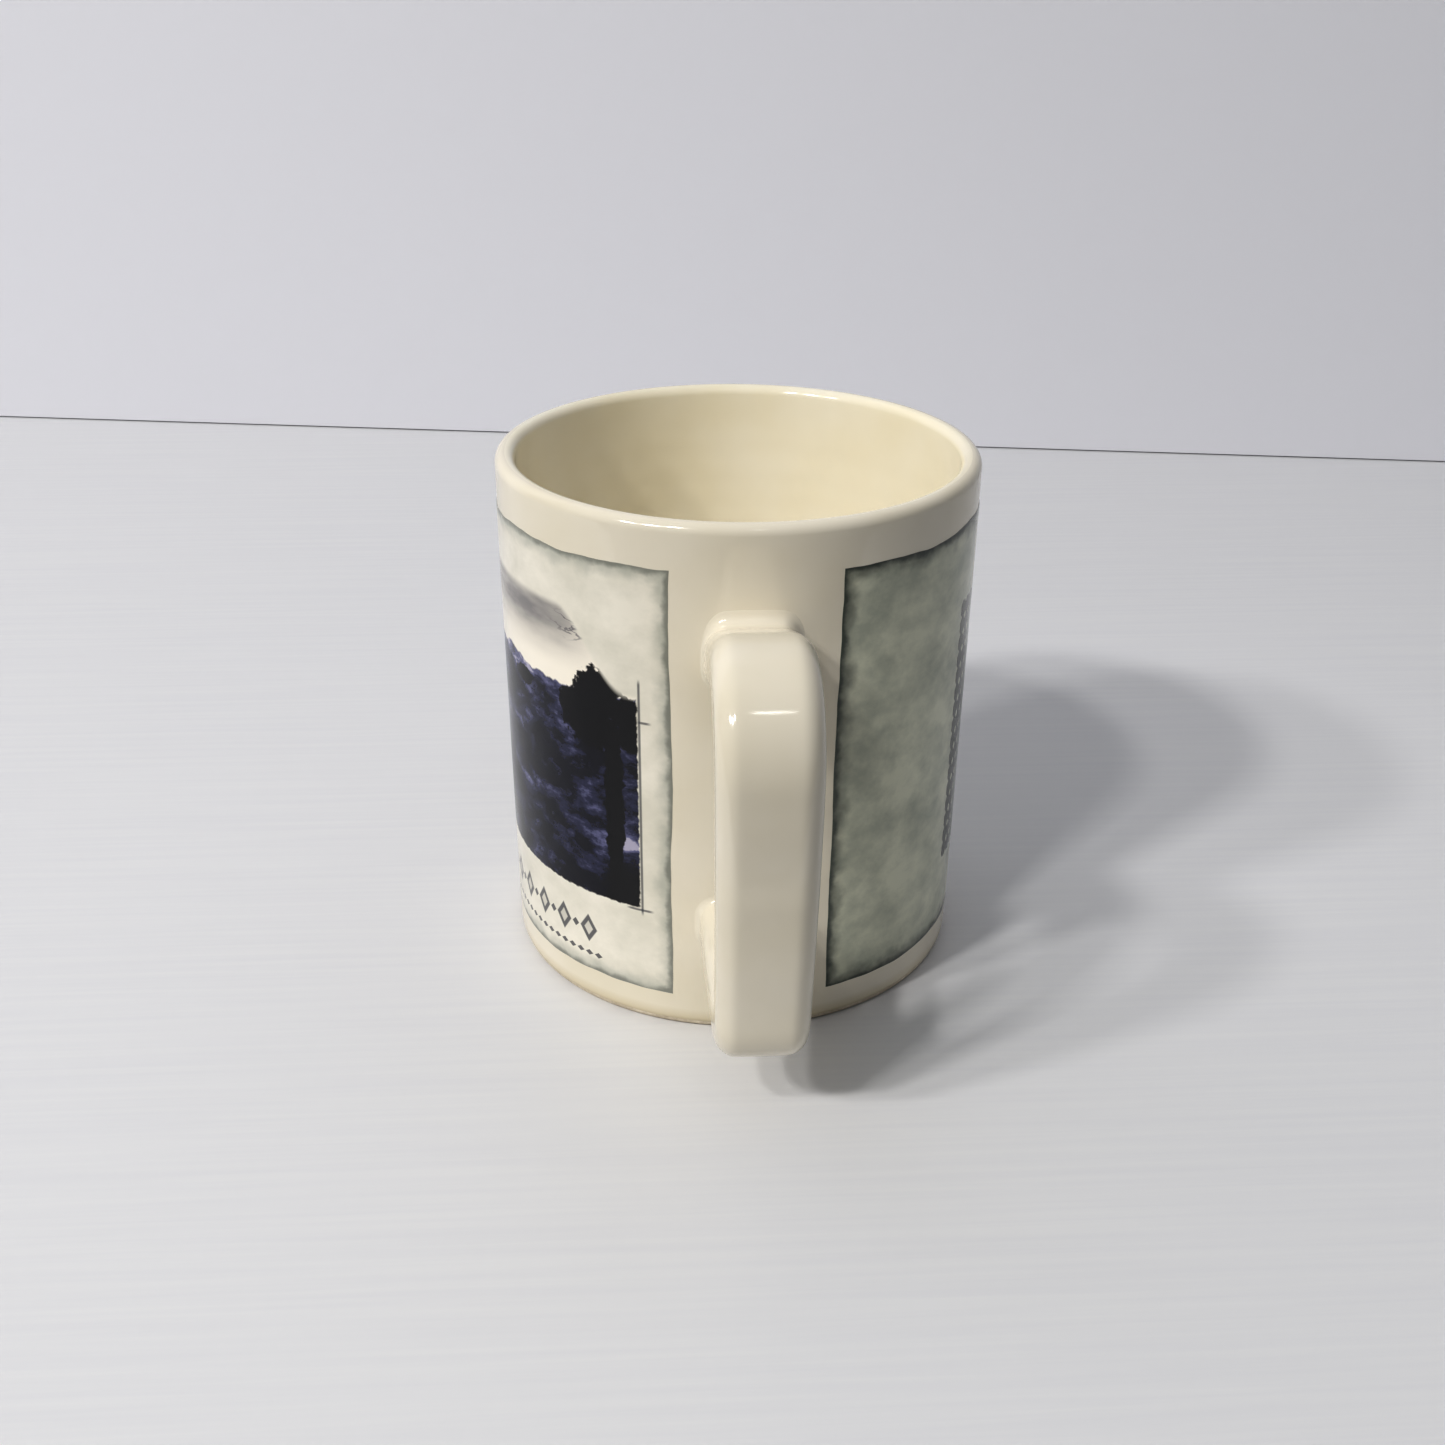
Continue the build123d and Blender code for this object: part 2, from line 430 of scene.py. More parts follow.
def strap_width_share(along):
    """The strap narrows a little from its shoulder to the lower bend, then spreads to the wall."""
    narrowing = eased((along - 30) / (LINE_LENGTH - 60))
    spreading = eased((along - (LINE_LENGTH - 32)) / 26)
    return 1 - (1 - STRAP_TAPER) * narrowing + (ROOT_SPREAD - STRAP_TAPER) * spreading


def strap_section(coat):
    """The strap's section as (across, outward) points and their outward directions."""
    half_w = STRAP_WIDTH / 2 + coat
    half_t = STRAP_THICKNESS / 2 + coat
    corner = STRAP_CORNER + coat
    corners = [
        (0, half_t), (half_w, half_t), (half_w, -half_t),
        (-half_w, -half_t), (-half_w, half_t), (0, half_t),
    ]
    line = divided(rounded(corners, [corner] * 4, turn=9.0), 0.8)[:-1]
    crowned = []
    for p in line:
        face = 1 if p.y > 0 else -INNER_CROWN
        bulge = STRAP_CROWN * (1 - (p.x / half_w) ** 2) * face * min(1, abs(p.y) / half_t)
        crowned.append(Vector((p.x, p.y + bulge)))
    count = len(crowned)
    outward = []
    for i, p in enumerate(crowned):
        run = crowned[(i + 1) % count] - crowned[i - 1]
        normal = Vector((-run.y, run.x)).normalized()
        outward.append(normal if normal.dot(p) > 0 else -normal)
    return crowned, outward


def strap_point(along, across, out):
    point, _, outward = strap_station(along)
    side = across * strap_width_share(along)
    return Vector((point.x + outward.x * out, side, point.y + outward.y * out))


def clear_of_wall(along, across, out, coat):
    """How far a point of the strap stands outside the wall's surface."""
    p = strap_point(along, across, out)
    return math.hypot(p.x, p.y) - wall_radius(p.z, coat)


def meet_wall(lower_end, across, out, clearance, coat):
    """Distance along the strap at which a lengthwise line of it is that far off the wall."""
    near, far = (LINE_LENGTH, LINE_LENGTH - ROOT_REACH) if lower_end else (0.0, ROOT_REACH)
    for _ in range(26):
        middle = (near + far) / 2
        if clear_of_wall(middle, across, out, coat) < clearance:
            near = middle
        else:
            far = middle
    return (near + far) / 2


def root_rings(lower_end, coat, steps=14):
    """Rings of the concave slip fillet, from the wall's surface out to the plain strap."""
    section, outward = strap_section(coat)
    fillets = [SIDE_FILLET + (TOP_FILLET - SIDE_FILLET) * max(0.0, n.y) ** 3 for n in outward]
    if lower_end:
        fillets = [LOWER_FILLET] * len(section)
    rings = []
    for i in range(-1, steps + 1):
        angle = math.radians(FILLET_START + (90 - FILLET_START) * max(0, i) / steps)
        ring = []
        for p, n, fillet in zip(section, outward, fillets):
            clearance, flare = fillet * (1 - math.cos(angle)), fillet * (1 - math.sin(angle))
            if i < 0:
                clearance, flare = -FILLET_BEDDING, flare + FILLET_FEATHER
            q = p + n * flare
            along = meet_wall(lower_end, q.x, q.y, clearance, coat)
            ring.append(strap_point(along, q.x, q.y))
        rings.append(ring)
    ends = [meet_wall(lower_end, p.x, p.y, f, coat) for p, f in zip(section, fillets)]
    return rings, ends


def strap_rings(coat, first, last, steps=120):
    """Plain rings between two sets of distances, one distance for each lengthwise line."""
    section, _ = strap_section(coat)
    rings = []
    for i in range(1, steps):
        share = i / steps
        ring = []
        for j, p in enumerate(section):
            ring.append(strap_point(first[j] * (1 - share) + last[j] * share, p.x, p.y))
        rings.append(ring)
    return rings


def filleted_strap(coat):
    """All rings of the strap with a fillet at each root, from wall to wall."""
    upper, first = root_rings(False, coat)
    lower, last = root_rings(True, coat)
    return upper + strap_rings(coat, first, last) + lower[::-1]


def handle_glaze(material):
    """The coat round the handle: outside over the glaze, inside against the fired strap."""
    outer = filleted_strap(COAT)
    inner = filleted_strap(0)
    points, faces = bridged(outer + inner[::-1], wrap_rings=True)
    return piece_from("handle_glaze_coat", points, faces, material, sharp=80)


def fired_handle(material):
    """The strap itself, its ends mitred one slip gap away from the wall."""
    section, _ = strap_section(0)
    first = [meet_wall(False, p.x, p.y, SLIP_GAP, 0) for p in section]
    last = [meet_wall(True, p.x, p.y, SLIP_GAP, 0) for p in section]
    ends = [[strap_point(s, p.x, p.y) for s, p in zip(e, section)] for e in (first, last)]
    rings = [ends[0]] + strap_rings(0, first, last) + [ends[1]]
    points, faces = bridged(rings)
    capped(points, faces, 0, len(section))
    capped(points, faces, (len(rings) - 1) * len(section), len(section))
    return piece_from("fired_handle", points, faces, material)


def slip_joint(name, lower_end, material):
    """Slip behind the handle's end, squeezed out and sponged to a concave bead round it."""
    section, _ = strap_section(0)
    flare, _ = root_rings(lower_end, -SLIP_WIDENING)
    seat = []
    for p in section:
        along = meet_wall(lower_end, p.x, p.y, SLIP_GAP, 0)
        seat.append(strap_point(along, p.x, p.y))
    rings = flare[1:] + [seat]
    points, faces = bridged(rings)
    capped(points, faces, 0, len(section))
    capped(points, faces, (len(rings) - 1) * len(section), len(section))
    return piece_from(name, points, faces, material)


# ---------------------------------------------------------------- the printed panels


def ragged(place, seed, size):
    """Wander of a torn edge at a place along it, in mm."""
    slow = noise.noise(Vector((place / 17, seed, 0.3)))
    quick = noise.noise(Vector((place / 4.5, seed, 7.3)))
    fine = noise.noise(Vector((place / 1.3, seed, 3.9)))
    return size * (0.9 * slow + 0.25 * quick + 0.05 * fine)


def printed_panel(name, side, gap, seed, material):
    """One transfer: a thin skin on the glaze with torn edges.

    side is 1 for the panel on +Y and -1 for the one on -Y. Each point keeps how far round
    from the panel's handle edge it lies, its height, and its distance from the torn edge.
    """
    columns, rows = 180, 150
    radius = RIM_RADIUS + COAT
    points, around, up, margin = [], [], [], []
    for layer in (PRINT_THICKNESS, 0.0):
        for i in range(rows + 1):
            for j in range(columns + 1):
                s, t = j / columns, i / rows
                u_flat, v_flat = s * PANEL_WIDTH, PANEL_LOW + t * (PANEL_HIGH - PANEL_LOW)
                near = PANEL_MARGIN + ragged(v_flat, seed, SIDE_WANDER)
                far = PANEL_WIDTH - PANEL_MARGIN + ragged(v_flat, seed + 1, SIDE_WANDER)
                low = PANEL_LOW + PANEL_MARGIN + ragged(u_flat, seed + 2, LOW_WANDER)
                high = PANEL_HIGH - TOP_MARGIN + ragged(u_flat, seed + 3, TOP_WANDER)
                u = near + (far - near) * s
                v = low + (high - low) * t
                angle = side * (math.radians(gap) + u / radius)
                r = wall_radius(v, COAT) + wall_unevenness(angle, v) + layer
                edge = min(u - near, far - u, v - low, high - v)
                if layer and edge < 0.01:
                    r -= PRINT_THICKNESS * 0.6
                points.append(Vector((r * math.cos(angle), r * math.sin(angle), v)))
                around.append(u)
                up.append(v)
                margin.append(edge)
    row = columns + 1
    sheet = row * (rows + 1)
    faces = []
    for i in range(rows):
        for j in range(columns):
            a = i * row + j
            quad = (a, a + 1, a + 1 + row, a + row)
            back = tuple(k + sheet for k in reversed(quad))
            faces += [quad, back] if side > 0 else [quad[::-1], back[::-1]]
    rim = list(range(columns))
    rim += [columns + i * row for i in range(rows)]
    rim += [rows * row + columns - j for j in range(columns)]
    rim += [(rows - i) * row for i in range(rows)]
    for a, b in zip(rim, rim[1:] + rim[:1]):
        quad = (b, a, a + sheet, b + sheet)
        faces.append(quad if side > 0 else quad[::-1])
    piece = piece_from(name, points, faces, material, sharp=60)
    for label, values in (("around", around), ("up", up), ("margin", margin)):
        layer = piece.data.attributes.new(label, "FLOAT", "POINT")
        layer.data.foreach_set("value", values)
    return piece


# ---------------------------------------------------------------- materials


def linear(hex_colour):
    """An sRGB hex colour as a linear RGBA value."""
    parts = [int(hex_colour[i : i + 2], 16) / 255 for i in (1, 3, 5)]
    return tuple(c / 12.92 if c <= 0.04045 else ((c + 0.055) / 1.055) ** 2.4 for c in parts) + (1.0,)


def add(tree, kind, feeds=(), take=None, **settings):
    """Adds a node with its settings, feeds its inputs, and gives one of its outputs.

    feeds holds links or plain values: a list in the order of the sockets, or a dict by name.
    """
    node = tree.nodes.new("ShaderNode" + kind)
    for key, value in settings.items():
        setattr(node, key, value)
    sockets = [s for s in node.inputs if s.enabled]
    for key, value in feeds.items() if isinstance(feeds, dict) else enumerate(feeds):
        socket = sockets[key] if isinstance(key, int) else next(s for s in sockets if s.name == key)
        if isinstance(value, bpy.types.NodeSocket):
            tree.links.new(value, socket)
        elif value is not None:
            socket.default_value = value
    outputs = [s for s in node.outputs if s.enabled]
    return next((s for s in outputs if take in (None, s.name)), None)


def finished(name, build, **constants):
    """A material whose tree is made by build, with its constants on the shader's own sockets.

    build gives the feeds of the shader's sockets by name.
    """
    material = bpy.data.materials.new(name)
    material.use_nodes = True
    tree = material.node_tree
    tree.nodes.clear()
    surface = add(tree, "BsdfPrincipled", {**constants, **build(tree)})
    add(tree, "OutputMaterial", {"Surface": surface})
    return material


def per(size):
    """Scale of a pattern whose features are about this many mm across, on Object coordinates."""
    return 1 / (size * MM)


def glaze_colour(tree, place, thin, thick):
    """Cream of the glaze over its body: slow clouds of thickness and a few iron specks."""
    clouds = add(tree, "TexNoise", {"Vector": place, "Scale": per(24), "Detail": 3.0})
    clouds = add(tree, "MapRange", [clouds, 0.32, 0.68, 0.0, 1.0])
    colour = add(tree, "Mix", [clouds, linear(thin), linear(thick)], data_type="RGBA")
    cells = add(tree, "TexVoronoi", {"Vector": place, "Scale": per(9)}, take="Distance")
    chosen = add(tree, "SeparateColor", [cells.node.outputs["Color"]])
    rare = add(tree, "Math", [chosen, 0.86], operation="GREATER_THAN")
    spot = add(tree, "MapRange", [cells, 0.014, 0.034, 0.6, 0.0])
    spot = add(tree, "Math", [spot, rare], operation="MULTIPLY")
    return add(tree, "Mix", [spot, colour, linear(IRON_SPECK)], data_type="RGBA")


def glaze_skin(tree, place):
    """Gloss and relief of the fired glaze: a faint orange-peel wave, and pinholes."""
    smears = add(tree, "TexNoise", {"Vector": place, "Scale": per(11), "Detail": 4.0})
    roughness = add(tree, "MapRange", [smears, 0.35, 0.7, 0.07, 0.14])
    waves = add(tree, "TexNoise", {"Vector": place, "Scale": per(6), "Detail": 1.0})
    cells = add(tree, "TexVoronoi", {"Vector": place, "Scale": per(5)}, take="Distance")
    chosen = add(tree, "SeparateColor", [cells.node.outputs["Color"]], take="Green")
    rare = add(tree, "Math", [chosen, 0.8], operation="GREATER_THAN")
    pits = add(tree, "MapRange", [cells, 0.0, 0.05, 0.5, 0.0])
    pits = add(tree, "Math", [pits, rare], operation="MULTIPLY")
    height = add(tree, "Math", [waves, pits], operation="SUBTRACT")
    normal = add(tree, "Bump", {"Height": height, "Strength": 0.25, "Distance": 0.12 * MM})
    return roughness, normal


def cream_glaze(name, thin, thick):
    """Earthenware glaze, dipped and fired glossy over a cream body.

    To the eye: warm cream with a wet gloss, softly waved reflections, a deeper cream where the
    coat is thick, scattered pinholes and iron specks, and painted shade: a darker cream along
    the bare foot where the cup meets the table. The inside's copy is painted paler, as painted light inside
    the cup.
    """

    def build(tree):
        place = add(tree, "TexCoord", take="Object")
        height = add(tree, "SeparateXYZ", [place], take="Z")
        # Painted shade: the glaze darkens to a deeper cream towards the bare foot.
        foot_shade = add(tree, "MapRange", [height, (BARE_FOOT + FOOT_SHADE_HEIGHT) * MM, BARE_FOOT * MM, 0.0, 0.6])
        colour = glaze_colour(tree, place, thin, thick)
        colour = add(tree, "Mix", [foot_shade, colour, linear(CREAM_FOOT_SHADE_PAINTED)], data_type="RGBA")
        roughness, normal = glaze_skin(tree, place)
        return {"Base Color": colour, "Roughness": roughness, "Normal": normal}

    return finished(name, build, IOR=1.52)


def biscuit(name, light, dark):
    """Fired, unglazed earthenware, wiped with a sponge before firing.

    To the eye: matt and dry, with a fine grain, a little grey where it has rubbed on tables.
    """

    def build(tree):
        place = add(tree, "TexCoord", take="Object")
        grain = add(tree, "TexNoise", {"Vector": place, "Scale": per(0.9), "Detail": 5.0, "Roughness": 0.7})
        stains = add(tree, "TexNoise", {"Vector": place, "Scale": per(7), "Detail": 3.0})
        tone = add(tree, "Math", [grain, stains], operation="MULTIPLY")
        tone = add(tree, "MapRange", [tone, 0.12, 0.38, 0.0, 1.0])
        colour = add(tree, "Mix", [tone, linear(dark), linear(light)], data_type="RGBA")
        normal = add(tree, "Bump", {"Height": grain, "Strength": 0.5, "Distance": 0.08 * MM})
        return {"Base Color": colour, "Normal": normal}

    return finished(name, build, Roughness=0.82, IOR=1.5)


def panel_fields(tree):
    """Places on a panel in mm: round from its handle edge, height, and distance off its edge."""
    return [add(tree, "Attribute", take="Fac", attribute_name=n) for n in ("around", "up", "margin")]


def stretched_noise(tree, sheet, size, detail, shift=0.0, roughness=0.5):
    """Noise whose features are size = (wide, high) mm on the panel's sheet."""
    spot = add(tree, "VectorMath", [sheet, (1 / size[0], 1 / size[1], 1.0)], operation="MULTIPLY")
    spot = add(tree, "VectorMath", [spot, (shift, shift * 0.7, shift)], operation="ADD")
    return add(tree, "TexNoise", {"Vector": spot, "Scale": 1.0, "Detail": detail, "Roughness": roughness})


def aged_paper(tree, sheet, margin, pale, dark, edge, stain, line_strength, shift):
    """A panel's printed ground: mottled paper that darkens to a stain along its torn edge."""
    mottle = stretched_noise(tree, sheet, (11, 9), 5.0, shift, 0.6)
    mottle = add(tree, "MapRange", [mottle, 0.36, 0.64, 0.0, 1.0])
    colour = add(tree, "Mix", [mottle, linear(pale), linear(dark)], data_type="RGBA")
    ragged = stretched_noise(tree, sheet, (4, 4), 3.0, shift + 5)
    ragged = add(tree, "MapRange", [ragged, 0.3, 0.7, -0.9, 0.9])
    worn = add(tree, "Math", [margin, ragged], operation="ADD")
    wide = add(tree, "MapRange", [worn, 0.2, 3.4, stain, 0.0], **SOFT)
    colour = add(tree, "Mix", [wide, colour, linear(edge)], data_type="RGBA")
    fine = stretched_noise(tree, sheet, (3.0, 3.0), 3.0, shift + 9)
    fine = add(tree, "MapRange", [fine, 0.3, 0.7, -0.45, 0.45])
    line = add(tree, "Math", [margin, fine], operation="ADD")
    thin = add(tree, "MapRange", [line, 0.1, 1.25, line_strength, 0.0], **SOFT)
    return add(tree, "Mix", [thin, colour, linear(INK_EDGE)], data_type="RGBA")


def blob(tree, sheet, middle, size):
    """A field that is 0 at the middle of an oval and 1 on its outline."""
    offset = add(tree, "VectorMath", [sheet, (*middle, 0.0)], operation="SUBTRACT")
    scaled = add(tree, "VectorMath", [offset, (*size, 1.0)], operation="DIVIDE")
    return add(tree, "VectorMath", [scaled], take="Value", operation="LENGTH")


def landscape(tree, sheet, around, up, ground, picture, trees, shift):
    """A monochrome picture of a wooded hillside, printed over a panel's ground.

    picture is the hillside's rectangle; the sky above it fades out into the panel.
    """
    (near, low), (far, horizon) = picture
    skyline = stretched_noise(tree, sheet, (9, 60), 4.0, shift)
    skyline = add(tree, "MapRange", [skyline, 0.3, 0.7, horizon - 1.6, horizon + 1.6])
    depth = add(tree, "Math", [skyline, up], operation="SUBTRACT")

    wash = add(tree, "MapRange", [up, horizon + 1.5, horizon + 0.8 * SKY_HEIGHT, 0.0, 1.0], **SOFT)
    open_sky = add(tree, "MapRange", [around, near + 4, near + 18, 0.0, 1.0], **SOFT)
    cloud = stretched_noise(tree, sheet, (16, 5), 4.0, shift + 2)
    cloud = add(tree, "MapRange", [cloud, 0.3, 0.62, 0.55, 1.0])
    wash = add(tree, "Math", [wash, open_sky], operation="MULTIPLY")
    wash = add(tree, "Math", [wash, cloud], operation="MULTIPLY")
    sky = add(tree, "Mix", [wash, linear(SKY_PALE), linear(SKY_WASH)], data_type="RGBA")
    pen = stretched_noise(tree, sheet, (7, 2.4), 3.0, shift + 4, 0.6)
    pen = add(tree, "Math", [pen, 0.5], operation="SUBTRACT")
    pen = add(tree, "Math", [pen], operation="ABSOLUTE")
    pen = add(tree, "MapRange", [pen, 0.012, 0.035, 0.7, 0.0], **SOFT)
    scribbled = blob(tree, sheet, (near + 10, horizon + 10.5), (9, 3.6))
    scribbled = add(tree, "MapRange", [scribbled, 0.4, 1.0, 1.0, 0.0], **SOFT)
    pen = add(tree, "Math", [pen, scribbled], operation="MULTIPLY")
    sky = add(tree, "Mix", [pen, sky, linear(SKY_PEN)], data_type="RGBA")

    growth = stretched_noise(tree, sheet, (6.0, 3.4), 7.0, shift + 6, 0.66)
    growth = add(tree, "MapRange", [growth, 0.36, 0.74, 0.0, 1.0])
    banks = stretched_noise(tree, sheet, (19, 9), 2.0, shift + 7)
    banks = add(tree, "MapRange", [banks, 0.35, 0.65, -0.18, 0.1])
    far_light = add(tree, "MapRange", [depth, 0.5, 6.0, 0.4, 0.0], **SOFT)
    foreground = add(tree, "MapRange", [up, low + 1, low + 10, -0.1, 0.0], **SOFT)
    clearing = blob(tree, sheet, (near + 5.5, low + 11.5), (7.5, 2.2))
    clearing = add(tree, "MapRange", [clearing, 0.5, 1.0, 0.4, 0.0], **SOFT)
    for lift in (banks, far_light, foreground, clearing):
        growth = add(tree, "Math", [growth, lift], operation="ADD")
    hill = linear(HILL_DARK)
    for colour, start, end in ((HILL_MIDDLE, 0.22, 0.5), (HILL_LIGHT, 0.5, 0.86), (HILL_FLECK, 0.88, 1.06)):
        share = add(tree, "MapRange", [growth, start, end, 0.0, 1.0], **SOFT)
        hill = add(tree, "Mix", [share, hill, linear(colour)], data_type="RGBA")

    leaves = stretched_noise(tree, sheet, (1.7, 1.7), 3.0, shift + 8, 0.6)
    leaves = add(tree, "MapRange", [leaves, 0.3, 0.7, -0.24, 0.24])
    crown = None
    for middle, size in trees:
        oval = blob(tree, sheet, middle, size)
        crown = oval if crown is None else add(tree, "Math", [crown, oval], operation="MINIMUM")
    crown = add(tree, "Math", [crown, leaves], operation="ADD")
    crown = add(tree, "MapRange", [crown, 0.94, 1.08, 1.0, 0.0], **SOFT)

    on_hill = add(tree, "MapRange", [depth, -0.15, 0.35, 0.0, 1.0], **SOFT)
    view = add(tree, "Mix", [on_hill, sky, hill], data_type="RGBA")
    view = add(tree, "Mix", [crown, view, linear(TREE)], data_type="RGBA")

    border = stretched_noise(tree, sheet, (1.2, 1.2), 2.0, shift + 10)
    border = add(tree, "MapRange", [border, 0.3, 0.7, -0.18, 0.18])
    side = add(tree, "Math", [around, border], operation="ADD")
    foot = add(tree, "Math", [up, border], operation="ADD")
    sky_top = horizon + SKY_HEIGHT
    sky_end = add(tree, "MapRange", [around, near + 2, near + 16, horizon + 1, sky_top], **SOFT)
    sky_end = add(tree, "Math", [sky_end, up], operation="SUBTRACT")
    shown = add(tree, "MapRange", [side, near, near + 0.25, 0.0, 1.0])
    for limit in (
        add(tree, "MapRange", [side, far - 0.25, far, 1.0, 0.0]),
        add(tree, "MapRange", [foot, low, low + 0.25, 0.0, 1.0]),
        add(tree, "MapRange", [sky_end, -0.4, 1.2, 0.0, 1.0], **SOFT),
    ):
        shown = add(tree, "Math", [shown, limit], operation="MULTIPLY")
    return add(tree, "Mix", [shown, ground, view], data_type="RGBA")


def ruled_corner(tree, around, up, ground, picture):
    """Thin drawn lines that run on past the picture's corner on the handle side."""
    (near, low), (_, horizon) = picture
    for along, across, start, end, line in (
        (up, around, low - 1.6, horizon + 4.2, near - 0.25),
        (around, up, near - 2.6, near + 3.0, low - 0.3),
        (around, up, near - 2.6, near + 0.5, horizon - 3.5),
    ):
        off = add(tree, "Math", [across, line], operation="SUBTRACT")
        off = add(tree, "Math", [off], operation="ABSOLUTE")
        ink = add(tree, "MapRange", [off, 0.1, 0.32, 0.75, 0.0], **SOFT)
        begun = add(tree, "MapRange", [along, start, start + 1.2, 0.0, 1.0], **SOFT)
        ended = add(tree, "MapRange", [along, end - 1.2, end, 1.0, 0.0], **SOFT)
        for limit in (begun, ended):
            ink = add(tree, "Math", [ink, limit], operation="MULTIPLY")
        ground = add(tree, "Mix", [ink, ground, linear(ORNAMENT)], data_type="RGBA")
    return ground


def lozenges(tree, around, up, ground, field, pitch, size, hollow=0.0, colour=ORNAMENT):
    """A field of small lozenges in rows and columns, drawn within its two corners."""
    (near, low), (far, high) = field
    ways = []
    for place, start, step, half in ((around, near, pitch[0], size[0]), (up, low, pitch[1], size[1])):
        off = add(tree, "Math", [place, start], operation="SUBTRACT")
        off = add(tree, "Math", [off, step, 0.0], operation="WRAP")
        off = add(tree, "Math", [off, step / 2], operation="SUBTRACT")
        off = add(tree, "Math", [off], operation="ABSOLUTE")
        ways.append(add(tree, "Math", [off, half], operation="DIVIDE"))
    shape = add(tree, "Math", ways, operation="ADD")
    ink = add(tree, "MapRange", [shape, 0.85, 1.0, 0.85, 0.0], **SOFT)
    inside = add(tree, "MapRange", [shape, hollow, hollow + 0.12, 0.25, 1.0], **SOFT)
    limits = [inside] if hollow else []
    for place, start, end in ((around, near, far), (up, low, high)):
        limits.append(add(tree, "Math", [place, start], operation="GREATER_THAN"))
        limits.append(add(tree, "Math", [place, end], operation="LESS_THAN"))
    for limit in limits:
        ink = add(tree, "Math", [ink, limit], operation="MULTIPLY")
    return add(tree, "Mix", [ink, ground, linear(colour)], data_type="RGBA")


def panel_print(name, pale, dark, stain, stain_strength, line_strength, shift, drawn):
    """A screen-printed ceramic transfer, fired into the glaze.

    To the eye: aged paper with a torn, stained edge and a blue-black picture, flat and glossy
    as the glaze round it, with the ink a little duller than the bare glaze.
    """

    def build(tree):
        around, up, margin = panel_fields(tree)
        sheet = add(tree, "CombineXYZ", [around, up, 0.0])
        colour = aged_paper(tree, sheet, margin, pale, dark, stain, stain_strength, line_strength, shift)
        colour = drawn(tree, sheet, around, up, colour)
        place = add(tree, "TexCoord", take="Object")
        roughness, normal = glaze_skin(tree, place)
        roughness = add(tree, "Math", [roughness, 0.06], operation="ADD")
        return {"Base Color": colour, "Roughness": roughness, "Normal": normal}

    return finished(name, build, IOR=1.42)


def left_print():
    """Cream paper with a wooded hillside, ruled corner lines and a row of lozenges below."""
    (near, low), (_, horizon) = LEFT_PICTURE
    trees = [
        ((near + 7.6, horizon - 0.2), (4.8, 4.6)),
        ((near + 11.8, horizon - 3.4), (4.4, 3.2)),
        ((near + 8.4, horizon - 6.5), (6.4, 3.4)),
        ((near + 2.4, horizon - 2.4), (3.8, 2.9)),
        ((near + 1.0, horizon - 6.0), (3.2, 3.4)),
        ((near + 4.6, (horizon + low) / 2), (1.9, 19.0)),
        ((near + 1.2, low + 1.5), (6.0, 5.5)),
        ((near + 27.0, horizon - 3.0), (3.2, 1.6)),
        ((near + 58.0, horizon - 1.0), (5.5, 3.6)),
        ((near + 64.0, horizon - 4.0), (6.5, 4.2)),
        ((near + 61.0, horizon - 18.0), (2.2, 16.0)),
    ]
    row = (near + 8.0, PANEL_WIDTH - near - 8.0)
    step = ORNAMENT_PITCH

    def drawn(tree, sheet, around, up, colour):
        colour = ruled_corner(tree, around, up, colour, LEFT_PICTURE)
        colour = landscape(tree, sheet, around, up, colour, LEFT_PICTURE, trees, 3.0)
        for field, pitch, size, hollow in (
            (((row[0], 11.8), (row[1], 18.0)), (step, 6.2), (2.1, 3.0), 0.42),
            (((row[0] + step / 2, 11.8), (row[1] - step / 2, 18.0)), (step, 6.2), (0.9, 0.9), 0.0),
            (((row[0], 9.2), (row[1], 10.6)), (step / 3, 1.4), (0.95, 0.6), 0.0),
        ):
            colour = lozenges(tree, around, up, colour, field, pitch, size, hollow)
        return colour

    return panel_print(
        "transfer_print_blue_black_on_cream",
        LEFT_PAPER, LEFT_PAPER_DARK, LEFT_STAIN, 0.5, 0.55, 3.0, drawn,
    )


def right_print():
    """Grey-green paper, darker at its edges, with a block of small lozenges."""

    def drawn(tree, sheet, around, up, colour):
        return lozenges(tree, around, up, colour, RIGHT_BLOCK, (2.6, 3.08), (2.1, 2.4), colour=BLOCK)

    return panel_print(
        "transfer_print_grey_green",
        RIGHT_PAPER, RIGHT_PAPER_DARK, RIGHT_STAIN, 0.75, 0.95, 31.0, drawn,
    )


def painted_board(name, colour, streak, roughness, grain):
    """Board painted with a roller. To the eye: pale, faintly streaked along its grain."""

    def build(tree):
        place = add(tree, "TexCoord", take="Object")
        spot = add(tree, "VectorMath", [place, grain], operation="MULTIPLY")
        streaks = add(tree, "TexNoise", {"Vector": spot, "Scale": 1.0, "Detail": 4.0, "Roughness": 0.6})
        streaks = add(tree, "MapRange", [streaks, 0.35, 0.65, 0.0, 1.0])
        tone = add(tree, "Mix", [streaks, linear(colour), linear(streak)], data_type="RGBA")
        normal = add(tree, "Bump", {"Height": streaks, "Strength": 0.2, "Distance": 0.05 * MM})
        return {"Base Color": tone, "Normal": normal}

    return finished(name, build, Roughness=roughness, IOR=1.45)


# ---------------------------------------------------------------- camera, light and setting

ASIDE = Vector((math.sin(math.radians(HANDLE_TURN)), math.cos(math.radians(HANDLE_TURN)), 0))
TOWARDS = Vector((ASIDE.y, -ASIDE.x, 0))
UPWARDS = Vector((0, 0, 1))


def seen(aside, away, height=0.0):
    """A place in metres from mm to the right of, beyond and above the cup's foot, as seen."""
    return (ASIDE * aside - TOWARDS * away + UPWARDS * height) * MM


